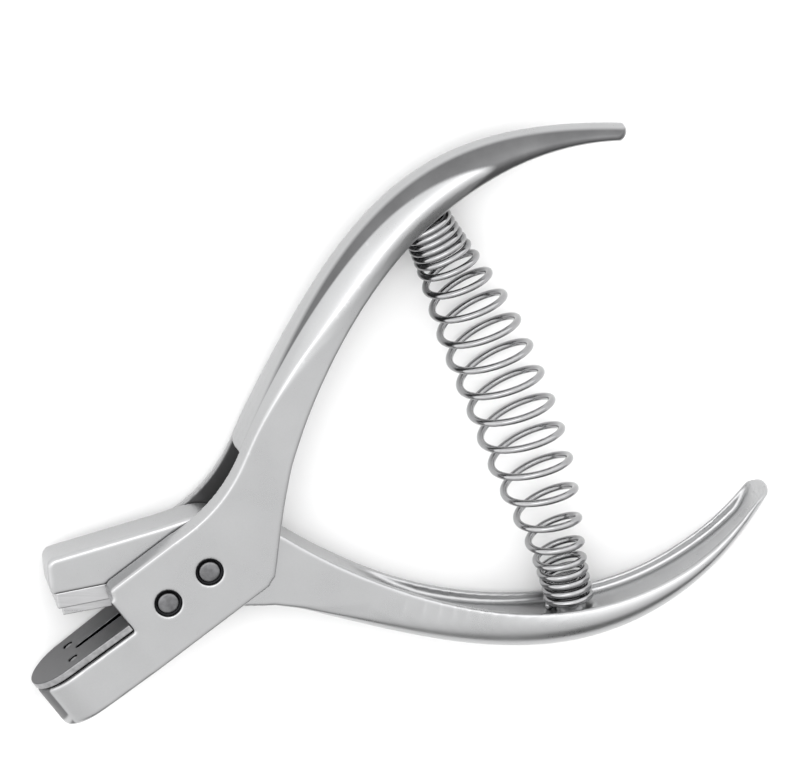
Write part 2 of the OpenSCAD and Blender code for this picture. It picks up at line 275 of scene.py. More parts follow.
def rounded_tip(shape, x, y, z, rim, crown, half, length):
    """Rounds the last length of a handle, seen from its back."""
    r1, c1, r0, c0 = (bezier(p, t)[0] for t in (1, 0.97) for p in (rim, crown))
    ahead = (r1 + c1) - (r0 + c0)
    ahead = ahead / np.linalg.norm(ahead)
    end = (r1 + c1) / 2
    past = (x - end[0]) * ahead[0] + (y - end[1]) * ahead[1] + length
    off = (y - end[1]) * ahead[0] - (x - end[0]) * ahead[1]
    thick = np.linalg.norm(r1 - c1) / 2 + 0.25
    share = np.clip(past / length, 0, 1)
    off = np.maximum(np.abs(off) - 0.6 * (1 - share), 0) * np.sqrt(share)
    reach = np.maximum(past, 0) / length
    ball = (np.sqrt(reach**2 + (z / half) ** 2 + (off / thick) ** 2) - 1) * min(length, 3.0)
    return np.where(past > 0, np.maximum(shape, ball), shape)


def spring_seat(end):
    """End of the spring's centre line, and the direction into the handle."""
    here, inner = (0, 1) if end == "upper" else (3, 2)
    seat = np.array(SPRING_LINE[here])
    ahead = seat - np.array(SPRING_LINE[inner])
    return seat, ahead / np.linalg.norm(ahead)


spine = bezier([turned((9, CHEEK_RISE), HEAD_ANGLE)[0], (6, 18.2), (10.3, 22.5), (13.4, 30.0)],
               np.linspace(0, 1, 14))
belly = bezier([(24.8, 28.5), (23.4, 21), (22.7, 14), (22.2, 7.6)], np.linspace(0, 1, 8))
cheek_front = turned([(-JAW_REACH - 1, -DIE_GAP), (-CHEEK_FRONT, -DIE_GAP), (-CHEEK_FRONT, 8.8),
                      (-8.7, 10.1), (-7.8, 10.8), (-7, CHEEK_RISE)], HEAD_ANGLE)
jaw_foot = turned([(18.2, -JAW_DEPTH), (-JAW_REACH - 1, -JAW_DEPTH)], HEAD_ANGLE)
heel = np.array([(21.9, 5.0), (21.3, 4.1)])
upper_rim, upper_crown = (bezier(c, np.linspace(0, 1, 90)) for c in (UPPER_RIM, UPPER_CROWN))
die_outline = np.vstack([cheek_front, spine[:-1], upper_crown, upper_rim[::-1], belly[1:], heel,
                         jaw_foot])
die_back = np.vstack([cheek_front[2:], spine[:-1], upper_crown])
die_under = np.vstack([upper_rim[::-1], belly[1:], heel, jaw_foot])
room = np.vstack([turned([(-CHEEK_FRONT - 0.5, -0.65), (-CHEEK_FRONT - 0.5, 16)], HEAD_ANGLE),
                  [(2, 31.0), (14.8, 31.0), (16.6, 33.0), (20, 38), (30, 38), (30, -14)],
                  turned([(-3, -14), (-3, -4), (-6, -0.65)], HEAD_ANGLE)])


def die_field(x, y, z, edge):
    """The die lever: lower jaw, two cheeks and the upper handle."""
    jaw = turned(np.hstack([x, y]), -HEAD_ANGLE)
    jaw_x, jaw_y = jaw[:, :1], jaw[:, 1:]
    back_d, _ = to_chain(x, y, die_back)
    under_d, _ = to_chain(x, y, die_under)
    front_d, _ = to_chain(x, y, cheek_front)
    rim_d, crown_d, place, deep = handle_map(x, y, UPPER_RIM, UPPER_CROWN)

    # half width: full at the head, narrower along the jaw and towards the tip of the handle
    on_jaw = jaw_x < -2
    tip_start = JAW_REACH - JAW_TIP_LEN
    taper = np.clip((-jaw_x - CHEEK_FRONT - 1) / (tip_start - CHEEK_FRONT - 1), 0, 1)
    along_handle = mix(HEAD_W / 2, UPPER_TIP_HALF, ramp(place, 0.3, 1.05))
    half = np.where(on_jaw, mix(HEAD_W / 2, JAW_TIP_W / 2, taper), along_handle)
    beyond = np.maximum(-jaw_x - tip_start, 0) / JAW_TIP_LEN
    side = np.where(beyond > 0, (np.hypot(beyond, z * 2 / JAW_TIP_W) - 1) * JAW_TIP_W / 2, z - half)

    # the sides lean in a little towards the rim of the handle
    lean = 0.26 * ramp(place, 0.12, 0.5) * np.clip(1 - rim_d / (0.6 * deep), 0, 1) ** 1.6
    side = np.where(on_jaw, side, z - half * (1 - lean))
    rounded = np.where(on_jaw, 0, ramp(place, 0.02, 0.4))
    back = crowned(side, z, half, back_d, deep, rounded, 2.0, 1.2, 0.45)
    under_r = mix(0.6, 1.1, ramp(-jaw_x, 22, 31))
    shape = np.maximum(back, corner(side, -under_d, under_r))
    shape = np.maximum(shape, corner(side, -front_d, 0.6))
    shape = np.maximum(shape, edge)
    shape = rounded_tip(shape, x, y, z, UPPER_RIM, UPPER_CROWN, half, 3.0)

    # room between the cheeks, and the hollow of the handle behind it
    room_d = np.minimum(to_outline(x, y, room), np.hypot(x, y) - HUB_R - 0.3)
    wall_back = np.maximum(2.6, deep * (0.16 + 0.84 * ramp(place, 0.6, 0.96)))
    hollow_half = mix(CHANNEL_HALF, half - np.minimum(2.6, half * 0.4), ramp(place, 0.0, 0.12))
    hollow = corner(z - hollow_half, wall_back - np.where(edge < 0, crown_d, -crown_d), 2.0)
    hollow = np.where((place > 0) & (place < 0.985) & (edge < 0), hollow, 9.0)
    shape = cut(shape, corner(z - CHANNEL_HALF, room_d, 0.1), 0.35)
    shape = cut(shape, hollow, 0.35)

    # seat of the spring
    seat, ahead = spring_seat("upper")
    shape = joined(shape, rod_field(x, y, z, seat, ahead, *UPPER_BOSS), 0.5)

    # raised pad under the die plate, and the opening for the slugs
    pad = np.maximum(np.maximum(side + 0.7, jaw_y), np.maximum(-jaw_y - 1.5, jaw_x + CHEEK_FRONT - 0.2))
    shape = np.minimum(shape, pad)
    chute_mid = (SLOT_REACH + CHEEK_FRONT + 1.1) / 2
    chute_half = (SLOT_REACH - CHEEK_FRONT - 0.1) / 2
    chute = np.hypot(np.maximum(np.abs(jaw_x + chute_mid) - chute_half + 2, 0), z) - 2
    shape = cut(shape, np.maximum(chute, jaw_y - 1), 0.25)
    dowel = np.hypot(jaw_x + DOWEL_REACH, z - DOWEL_SPAN / 2) - DOWEL_D / 2 - 0.06
    shape = cut(shape, np.maximum(dowel, -jaw_y - JAW_DEPTH + 3), 0.2)

    # bores, and the sunk ring round each pin end
    for way in (0, 1):
        r = np.hypot(jaw_x - way * PIN_SPAN, jaw_y)
        shape = cut(shape, np.maximum(r - RING_D / 2, HEAD_W / 2 - RING_DEPTH - z), 0.25)
        shape = np.maximum(shape, PIN_D / 2 + 0.03 - r)
    return shape


nose = turned([(-UPPER_REACH, BLOCK_SEAT), (-UPPER_REACH - 0.3, BLOCK_SEAT + 1.6)], PUNCH_ANGLE)
brow = turned([(-UPPER_REACH + 1.9 + 2 * math.cos(a), UPPER_TOP - 2.3 + 2 * math.sin(a))
               for a in np.radians(np.arange(180, 80, -15))], PUNCH_ANGLE)
jaw_top = np.vstack([
    bezier([(-1.5, 15.1), (3.5, 16.6), (6.5, 18.2), (10.5, 16.8)], np.linspace(0, 1, 10)),
    bezier([(13, 16), (17, 15.4), (21, 14), (24.3, 12.1)], np.linspace(0, 1, 8))])
hub = np.array([(HUB_R * math.cos(a), HUB_R * math.sin(a))
                for a in np.radians(np.arange(-48, -162, -8))])
throat = turned([(-9.6, BLOCK_SEAT - 2.2), (-9.8, BLOCK_SEAT), (-UPPER_REACH, BLOCK_SEAT)], PUNCH_ANGLE)
lower_rim, lower_crown = (bezier(c, np.linspace(0, 1, 90)) for c in (LOWER_RIM, LOWER_CROWN))
punch_top = np.vstack([nose, brow, jaw_top[:-1], lower_rim])
punch_under = np.vstack([lower_crown[::-1], [(15.5, -2.5)], hub, throat])
punch_outline = np.vstack([punch_top, punch_under[:-1]])


def punch_field(x, y, z, edge):
    """The punch lever: upper jaw, hub and the lower handle."""
    top_d, _ = to_chain(x, y, punch_top)
    under_d, _ = to_chain(x, y, punch_under)
    rim_d, crown_d, place, deep = handle_map(x, y, LOWER_RIM, LOWER_CROWN)

    half = mix(LEVER_W / 2, GRIP_HALF, ramp(place, 0.16, 0.62)) * mix(1, 0.9, ramp(place, 0.8, 0.95))
    lean = 0.10 * ramp(place, 0.3, 0.62) * np.clip(1 - rim_d / (0.5 * deep), 0, 1) ** 2
    side = z - half * (1 - lean)
    grown = np.where(x < 16, 0, ramp(place, 0.04, 0.5))
    drop = np.where(x < 16, 0, ramp(place, 0, 0.08))
    shape = crowned(side, z, half, under_d, deep, grown, 2.6, drop, 0.45)
    shape = np.maximum(shape, corner(side, -top_d, np.where(x < 12, 1.0, 0.45)))
    shape = np.maximum(shape, edge)
    shape = rounded_tip(shape, x, y, z, LOWER_RIM, LOWER_CROWN, half, 6.0)

    # trough along the inside of the handle
    trough = TROUGH_DEPTH * (ramp(place, 0.08, 0.3) - ramp(place, 0.93, 1.0))
    trough_half = half - np.minimum(1.7, half * 0.36)
    trough_d = corner(z - trough_half, rim_d - trough, 0.9)
    trough_d = np.where((place > 0) & (edge < 0), trough_d, np.where(place > 0, z - trough_half, 9.0))
    shape = cut(shape, np.where(trough > 0.05, trough_d, 9.0), 0.3)

    seat, ahead = spring_seat("lower")
    shape = joined(shape, rod_field(x, y, z, seat, ahead, *LOWER_BOSS), 0.8)

    # pivot bore, and the arc slot of the stop pin
    shape = np.maximum(shape, PIN_D / 2 + 0.05 - np.hypot(x, y))
    held = np.clip(np.arctan2(y, x), PUNCH_ANGLE, HEAD_ANGLE)
    slot = np.hypot(x - PIN_SPAN * np.cos(held), y - PIN_SPAN * np.sin(held))
    return np.maximum(shape, PIN_D / 2 + 0.3 - slot)


def finished(obj, body, slot, material, *nodes):
    """Gives a new piece its material, hides the CAD parts it takes the place of and hangs it on its
    body.
    """
    obj.data.materials.clear()
    obj.data.materials.append(material)
    if nodes:
        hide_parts(*nodes)
    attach(obj, body)
    return obj


def block_object(name, field, lowest, highest, angle, voxel=0.12):
    """Mesh of the zero of field(x, y, z), on a fine grid given in a jaw's own frame."""
    axes = [np.arange(a - 3 * voxel, b + 3 * voxel, voxel) for a, b in zip(lowest, highest)]
    x, y, z = np.meshgrid(*axes, indexing="ij", sparse=True)
    values = np.clip(field(x, y, z), -3 * voxel, 3 * voxel).astype(np.float32)
    grid = openvdb.FloatGrid(3 * voxel)
    grid.copyFromArray(np.array(np.broadcast_to(values, [len(a) for a in axes])))
    points, quads = grid.convertToQuads(0.0)
    points = points * voxel + np.array([a[0] for a in axes])
    points[:, :2] = turned(points[:, :2], angle)
    return mesh_object(name, points + np.array([pivot.x, pivot.y, MID_Z]), quads[:, ::-1])


def lathe(name, profile, start, axis, count=64):
    """A turned piece: (radius, height) pairs swept round an axis from a start point."""
    axis = Vector(axis).normalized()
    side = axis.orthogonal().normalized()
    other = axis.cross(side)
    points, faces = [], []
    for r, h in profile:
        for k in range(count):
            a = 2 * math.pi * k / count
            points.append(Vector(start) + axis * h + (side * math.cos(a) + other * math.sin(a)) * r)
    for j in range(len(profile) - 1):
        for k in range(count):
            a, b = j * count + k, j * count + (k + 1) % count
            faces.append((a, b, b + count, a + count))
    mesh = bpy.data.meshes.new(name)
    mesh.from_pydata([p * MM for p in points], [], faces)
    work = bmesh.new()
    work.from_mesh(mesh)
    bmesh.ops.remove_doubles(work, verts=work.verts, dist=1e-7)
    bmesh.ops.recalc_face_normals(work, faces=work.faces)
    work.to_mesh(mesh)
    work.free()
    mesh.validate()
    mesh.shade_smooth()
    obj = bpy.data.objects.new(name, mesh)
    bpy.context.scene.collection.objects.link(obj)
    return obj


# ---------------------------------------------------------------- materials


class Graph:
    """Small helper that builds a shader from named steps."""

    def __init__(self, name):
        self.material = bpy.data.materials.new(name)
        self.material.use_nodes = True
        self.nodes = self.material.node_tree.nodes
        self.links = self.material.node_tree.links
        self.shader = self.nodes["Principled BSDF"]
        self.place = self.node("ShaderNodeTexCoord").outputs["Object"]

    def node(self, kind, **settings):
        node = self.nodes.new(kind)
        for key, value in settings.items():
            setattr(node, key, value)
        return node

    def put(self, socket, value):
        if isinstance(value, bpy.types.NodeSocket):
            self.links.new(value, socket)
        else:
            socket.default_value = value

    def math(self, operation, a, b=0.0):
        node = self.node("ShaderNodeMath", operation=operation)
        self.put(node.inputs[0], a)
        self.put(node.inputs[1], b)
        return node.outputs[0]

    def noise(self, scale, detail=4.0, roughness=0.55, stretch=(1, 1, 1), turn=0.0):
        """Noise with features 1 / scale metres across, pulled out along a direction."""
        mapping = self.node("ShaderNodeMapping")
        self.put(mapping.inputs["Vector"], self.place)
        mapping.inputs["Rotation"].default_value = (0, 0, turn)
        mapping.inputs["Scale"].default_value = stretch
        noise = self.node("ShaderNodeTexNoise")
        self.put(noise.inputs["Vector"], mapping.outputs[0])
        noise.inputs["Scale"].default_value = scale
        noise.inputs["Detail"].default_value = detail
        noise.inputs["Roughness"].default_value = roughness
        return noise.outputs["Fac"]

    def spread(self, value, low, high, to_low=0.0, to_high=1.0):
        node = self.node("ShaderNodeMapRange")
        self.put(node.inputs["Value"], value)
        for key, v in (("From Min", low), ("From Max", high), ("To Min", to_low), ("To Max", to_high)):
            node.inputs[key].default_value = v
        return node.outputs["Result"]

    def blend(self, factor, a, b):
        node = self.node("ShaderNodeMix", data_type="RGBA")
        self.put(node.inputs[0], factor)
        for socket, value in ((node.inputs[6], a), (node.inputs[7], b)):
            self.put(socket, value if isinstance(value, bpy.types.NodeSocket) else (*value, 1))
        return node.outputs[2]

    def edges(self, low, high):
        """1 on outer edges, 0 on flat surfaces."""
        return self.spread(self.node("ShaderNodeNewGeometry").outputs["Pointiness"], low, high)

    def near_axis(self, centre, radius, soft=0.05):
        """1 within a radius of a line along Z, in millimetres."""
        flat = self.node("ShaderNodeVectorMath", operation="MULTIPLY")
        self.put(flat.inputs[0], self.place)
        flat.inputs[1].default_value = (1, 1, 0)
        gap = self.node("ShaderNodeVectorMath", operation="DISTANCE")
        self.put(gap.inputs[0], flat.outputs[0])
        gap.inputs[1].default_value = (centre[0] * MM, centre[1] * MM, 0)
        return self.spread(gap.outputs["Value"], (radius + soft) * MM, (radius - soft) * MM)

    def along_jaw(self, across=False):
        """Height over the lower jaw's line, or the place along it, from the pivot in millimetres."""
        axis = Vector((math.cos(HEAD_ANGLE), math.sin(HEAD_ANGLE), 0))
        if not across:
            axis = Vector((-axis.y, axis.x, 0))
        node = self.node("ShaderNodeVectorMath", operation="DOT_PRODUCT")
        self.put(node.inputs[0], self.place)
        node.inputs[1].default_value = axis / MM
        return self.math("SUBTRACT", node.outputs["Value"], axis.dot(pivot))

    def mid_distance(self):
        """Distance from the middle plane, in millimetres."""
        parts = self.node("ShaderNodeSeparateXYZ")
        self.put(parts.inputs[0], self.place)
        height = self.math("DIVIDE", parts.outputs["Z"], MM)
        return self.math("ABSOLUTE", self.math("SUBTRACT", height, MID_Z))

    def between(self, value, low, high, soft=0.04):
        """1 where the value lies between two limits."""
        above = self.spread(value, low - soft, low + soft)
        return self.math("MULTIPLY", above, self.spread(value, high + soft, high - soft))

    def attribute(self, name):
        return self.node("ShaderNodeAttribute", attribute_name=name).outputs["Fac"]

    def bump(self, height, strength, distance):
        node = self.node("ShaderNodeBump")
        node.inputs["Strength"].default_value = strength
        node.inputs["Distance"].default_value = distance * MM
        self.put(node.inputs["Height"], height)
        self.put(self.shader.inputs["Normal"], node.outputs[0])

    def finish(self, colour, roughness, metallic=1.0):
        self.put(self.shader.inputs["Base Color"], colour)
        self.put(self.shader.inputs["Roughness"], roughness)
        self.put(self.shader.inputs["Metallic"], metallic)
        return self.material


def cast_metal(name, tone, pins=()):
    """Satin nickel plate over a casting: a fine even grain, faint flow marks and brighter edges, partly
    polish and partly a painted highlight. With pins, painted shade in the sunk rings, between the cheeks
    and in the gap under the die plate.
    """
    g = Graph(name)
    grain = g.noise(2600, 3)
    marks = g.noise(90, 4)
    polish_and_edge_highlight = g.edges(0.53, 0.62)
    colour = g.blend(g.spread(marks, 0.3, 0.7), [c * 0.95 for c in tone], tone)
    dust = g.math("MULTIPLY", g.spread(grain, 0.35, 0.65), 0.10)
    colour = g.blend(dust, colour, [c * 0.78 for c in tone])
    # edges lighter in colour: partly polish, partly a painted highlight
    colour = g.blend(g.math("MULTIPLY", polish_and_edge_highlight, 0.4), colour, [min(1, c * 1.18) for c in tone])
    roughness = g.math("ADD", g.spread(marks, 0.3, 0.7, 0.27, 0.34),
                       g.spread(grain, 0.3, 0.7, -0.02, 0.03))
    for centre in pins:
        # the sunk ring round each pin end is painted near black: painted shade in the recess
        painted_ring_shade = g.near_axis(centre, RING_D / 2 + 0.05, 0.08)
        colour = g.blend(painted_ring_shade, colour, (0.02, 0.02, 0.022))
        roughness = g.math("MAXIMUM", roughness, g.math("MULTIPLY", painted_ring_shade, 0.55))
    if pins:
        # painted shade on the faces between the cheeks, and painted shade, near black, in the gap under
        # the die plate
        inner = g.math("MULTIPLY", g.attribute("inner"), g.spread(marks, 0.2, 0.8, 0.8, 1.0))
        colour = g.blend(inner, colour, (0.10, 0.10, 0.102))
        # the pad's sides under the die plate are painted near black as shade
        before_cheek = g.spread(g.along_jaw(True), -CHEEK_FRONT + 0.1, -CHEEK_FRONT - 0.1)
        gap = g.math("MULTIPLY", g.between(g.along_jaw(), -DIE_GAP + 0.06, 0.3), before_cheek)
        colour = g.blend(gap, colour, (0.006, 0.006, 0.006))
        roughness = g.math("MAXIMUM", roughness, g.math("MULTIPLY", g.math("MAXIMUM", gap, inner), 0.5))
    g.bump(grain, 0.10, 0.05)
    return g.finish(colour, roughness)


def die_metal(name, top, rim):
    """Dark hardened plate with a lighter ground rim, and painted shade inside its slot and dowel holes.
    """
    g = Graph(name)
    lines = g.noise(700, 5, 0.7, (0.05, 1.0, 1.0), -HEAD_ANGLE)
    upright = g.noise(900, 3, 0.6, (1, 1, 0.15))
    height = g.along_jaw()
    on_top = g.spread(height, DIE_T - 0.16, DIE_T - 0.06)
    colour = g.blend(g.spread(upright, 0.3, 0.7), [c * 0.75 for c in rim], [c * 1.2 for c in rim])
    flat = g.blend(g.spread(lines, 0.3, 0.7), [c * 0.85 for c in top], [c * 1.12 for c in top])
    colour = g.blend(on_top, colour, flat)
    back = g.along_jaw(True)
    narrow = g.spread(g.mid_distance(), SLOT_MOUTH_W / 2 + 0.2, SLOT_MOUTH_W / 2 + 0.15)
    slot = g.math("MULTIPLY", narrow, g.between(back, -SLOT_REACH - 0.3, -CHEEK_FRONT + 1))
    holes = g.between(g.mid_distance(), DOWEL_SPAN / 2 - 1.2, DOWEL_SPAN / 2 + 1.2)
    holes = g.math("MULTIPLY", holes, g.between(back, -DOWEL_REACH - 1.2, -DOWEL_REACH + 1.2))
    # inside the slot and the dowel holes, below the top face, the plate is painted near black: painted
    # shade
    painted_hole_shade = g.math("MULTIPLY", g.math("MAXIMUM", slot, holes),
                   g.spread(height, DIE_T - 0.08, DIE_T - 0.2))
    colour = g.blend(painted_hole_shade, colour, (0.004, 0.004, 0.004))
    g.bump(lines, 0.1, 0.03)
    return g.finish(colour, g.spread(lines, 0.3, 0.7, 0.34, 0.44))


def ground_metal(name, tone, turn, low, high, scale=900.0):
    """Machined steel with straight grinding marks across it."""
    g = Graph(name)
    lines = g.noise(scale, 5, 0.7, (0.06, 1.0, 1.0), turn)
    fine = g.noise(3000, 2)
    colour = g.blend(g.spread(lines, 0.3, 0.7), [c * 0.8 for c in tone], [c * 1.1 for c in tone])
    # edges painted much lighter: a painted highlight along the edges
    colour = g.blend(g.edges(0.54, 0.64), colour, [min(1, c * 1.9) for c in tone])
    roughness = g.math("ADD", g.spread(lines, 0.3, 0.7, low, high),
                       g.spread(fine, 0.3, 0.7, -0.02, 0.02))
    g.bump(lines, 0.18, 0.03)
    return g.finish(colour, roughness)


def turned_metal(name, tone, centre, roughness):
    """A pin end faced on a lathe: rings about its own axis and a little staining."""
    g = Graph(name)
    offset = g.node("ShaderNodeVectorMath", operation="SUBTRACT")
    g.put(offset.inputs[0], g.place)
    offset.inputs[1].default_value = (centre[0] * MM, centre[1] * MM, 0)
    rings = g.node("ShaderNodeTexWave", wave_type="RINGS", rings_direction="Z")
    g.put(rings.inputs["Vector"], offset.outputs[0])
    rings.inputs["Scale"].default_value = 900
    rings.inputs["Distortion"].default_value = 2.5
    rings.inputs["Detail"].default_value = 2
    stain = g.noise(700, 4)
    colour = g.blend(g.spread(stain, 0.35, 0.65), [c * 0.75 for c in tone], [c * 1.15 for c in tone])
    g.bump(rings.outputs["Fac"], 0.12, 0.02)
    return g.finish(colour, g.spread(stain, 0.3, 0.7, roughness - 0.06, roughness + 0.08))


def wire_metal(name, tone):
    """Bright drawn spring wire."""
    g = Graph(name)
    draw = g.noise(1400, 3)
    colour = g.blend(g.spread(draw, 0.3, 0.7), [c * 0.9 for c in tone], tone)
    g.bump(draw, 0.06, 0.02)
    return g.finish(colour, g.spread(draw, 0.3, 0.7, 0.13, 0.2))


pivot_at = (pivot.x, pivot.y)
stop_at = (-pivot.x, -pivot.y)
NICKEL = (0.42, 0.422, 0.426)
cast_die = cast_metal("cast_die", NICKEL, (pivot_at, stop_at))
cast_punch = cast_metal("cast_punch", NICKEL)
die_steel = die_metal("die_steel", (0.105, 0.105, 0.108), (0.30, 0.30, 0.305))
block_steel = ground_metal("block_steel", (0.44, 0.44, 0.445), -PUNCH_ANGLE, 0.26, 0.4)
spring_steel = wire_metal("spring_steel", (0.34, 0.34, 0.345))
stud_steel = wire_metal("stud_steel", (0.40, 0.40, 0.405))

# ---------------------------------------------------------------- the pieces

die_casting = field_object("die_casting", die_outline, die_field, HEAD_ANGLE, HEAD_W / 2, VOXEL)
# marks the faces between the cheeks, which get painted shade
spots = np.empty(len(die_casting.data.vertices) * 3)
die_casting.data.vertices.foreach_get("co", spots)
spots = spots.reshape(-1, 3) / MM - np.array([pivot.x, pivot.y, MID_Z])
under_skin, _ = to_chain(spots[:, 0], spots[:, 1], np.vstack([die_back, die_under, die_back[:1]]))
inner = np.clip((CHANNEL_HALF + 0.45 - np.abs(spots[:, 2])) / 0.3, 0, 1)
inner *= np.clip((under_skin - 0.35) / 0.4, 0, 1)
die_casting.data.attributes.new("inner", "FLOAT", "POINT").data.foreach_set("value", inner)
finished(die_casting, "die_side", "cast_body", cast_die, "die_lever")
punch_casting = field_object("punch_casting", punch_outline, punch_field, PUNCH_ANGLE, GRIP_HALF, VOXEL)
finished(punch_casting, "punch_side", "cast_body", cast_punch, "punch_lever")


def slot_field(x, z, gap):
    """Tapered slot in plan, negative inside."""
    tip, mouth = SLOT_REACH - gap, CHEEK_FRONT - 1
    share = np.clip((x + tip - 0.9) / (tip - 0.9 - mouth), 0, 1)
    half = mix(SLOT_TIP_W / 2, SLOT_MOUTH_W / 2, share) - gap
    point = np.maximum(-(x + tip - half), 0)
    return np.hypot(point, z) - half


def jaw_plan(x, z):
    """Plan of the lower jaw, negative inside."""
    tip_start = JAW_REACH - JAW_TIP_LEN
    taper = np.clip((-x - CHEEK_FRONT - 1) / (tip_start - CHEEK_FRONT - 1), 0, 1)
    beyond = np.maximum(-x - tip_start, 0) / JAW_TIP_LEN
    tip = (np.hypot(beyond, z * 2 / JAW_TIP_W) - 1) * JAW_TIP_W / 2
    return np.where(beyond > 0, tip, np.abs(z) - mix(HEAD_W / 2, JAW_TIP_W / 2, taper))


def plate_field(x, y, z):
    """Die plate: a thin hardened plate with the slot and two dowel holes."""
    plan = np.maximum(jaw_plan(x, z), x + CHEEK_FRONT + 0.05)
    plate = corner(plan, np.abs(y - DIE_T / 2) - DIE_T / 2, 0.15)
    plate = cut(plate, slot_field(x, z, 0), 0.12)
    dowel = np.hypot(x + DOWEL_REACH, np.abs(z) - DOWEL_SPAN / 2) - DOWEL_D / 2
    return cut(plate, dowel, 0.12)


die_plate = block_object("die_top", plate_field, (-JAW_REACH, 0, -HEAD_W / 2),
                         (-CHEEK_FRONT, DIE_T, HEAD_W / 2), HEAD_ANGLE)
finished(die_plate, "die_side", "die_steel", die_steel, "die_plate")


def block_field(x, y, z):
    """Punch block: a squared bar with a ground step round its lower edge."""
    length = (BLOCK_TIP - BLOCK_BACK) / 2
    mid = -(BLOCK_TIP + BLOCK_BACK) / 2
    plan = corner(np.abs(x - mid) - length, np.abs(z) - LEVER_W / 2 + 0.5, 0.5)
    tall = (BLOCK_SEAT - BLOCK_LOW) / 2
    body = corner(plan, np.abs(y - BLOCK_LOW - tall) - tall, 0.2)
    tongue = np.maximum(np.abs(z) - 1.9, np.abs(y - 6.3) - 1.3)
    tongue = np.maximum(np.abs(x - mid) - length + 3.1, tongue)
    return cut(np.minimum(body, tongue), np.maximum(slot_field(x, z, 0.28), y - BLOCK_LOW - 2), 0.08)


punch_block = block_object("punch_bar", block_field, (-BLOCK_TIP, BLOCK_LOW, -4),
                           (-BLOCK_BACK, 7.6, 4), PUNCH_ANGLE)
finished(punch_block, "punch_side", "block_steel", block_steel, "punch_block")


def blade_field(x, y, z):
    """Cutting blade: a long narrow punch with a ground end."""
    plan = np.maximum(slot_field(x, z, 0.3), x + BLOCK_BACK + 0.6)
    low, high = BLOCK_LOW - BLADE_PROUD, BLOCK_LOW + 2
    return corner(plan, np.maximum(low - y, y - high), 0.08)


slot_blade = block_object("blade", blade_field, (-SLOT_REACH, BLOCK_LOW - BLADE_PROUD, -1),
                          (-BLOCK_BACK, BLOCK_LOW + 2, 1), PUNCH_ANGLE, 0.08)
finished(slot_blade, "punch_side", "block_steel", block_steel, "slot_blade")


def pin_profile(radius, length, chamfer):
    """Half section of a pin with a slightly crowned, chamfered end each way."""
    end = [(0, -0.06), (radius * 0.5, -0.05), (radius - chamfer - 0.1, 0.0),
           (radius - chamfer * 0.4, chamfer * 0.2), (radius, chamfer), (radius, chamfer + 0.1)]
    return end + [(r, length - h) for r, h in reversed(end)]


for name, node, at in (("pivot_end", "pivot_pin", pivot_at), ("stop_end", "stop_pin", stop_at)):
    steel = turned_metal(name + "_steel", (0.17, 0.17, 0.175), at, 0.4)
    pin = lathe(name, pin_profile(PIN_D / 2, HEAD_W - 0.4, 0.3), (*at, 0.2), (0, 0, 1), 96)
    finished(pin, "die_side", "pin_steel", steel, node)

for way in (-1, 1):
    foot = turned((-DOWEL_REACH, -DOWEL_DEPTH), HEAD_ANGLE)[0]
    ahead = turned((0, 1), HEAD_ANGLE)[0]
    steel = wire_metal("dowel_steel", (0.2, 0.2, 0.205))
    dowel = lathe("dowel_a" if way < 0 else "dowel_b",
                  pin_profile(DOWEL_D / 2 - 0.02, 1.2 + DOWEL_DEPTH, 0.15),
                  (pivot.x + foot[0], pivot.y + foot[1], MID_Z + way * DOWEL_SPAN / 2), (*ahead, 0), 48)
    finished(dowel, "die_side", "pin_steel", steel)
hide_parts("die_dowels")

# ---------------------------------------------------------------- return spring

line_length = float(np.linalg.norm(np.subtract(SPRING_LINE[3], SPRING_LINE[0]))) * 1.012
coil_start = WIRE_D * 0.6 / line_length


def coil_places(per_turn):
    """Place along the centre line for each step, closed at both ends and open between."""
    turn = np.arange(COILS * per_turn + 1) / per_turn
    share = 1 + (OPEN_SHARE - 1) * ramp(turn, CLOSED_TOP, CLOSED_TOP + 3.5) * (
        1 - ramp(turn, COILS - CLOSED_END - 1.5, COILS - CLOSED_END + 2.5))
    climb = np.concatenate([[0], np.cumsum(share[:-1])])
    return turn, mix(coil_start, 1 - coil_start, climb / climb[-1])


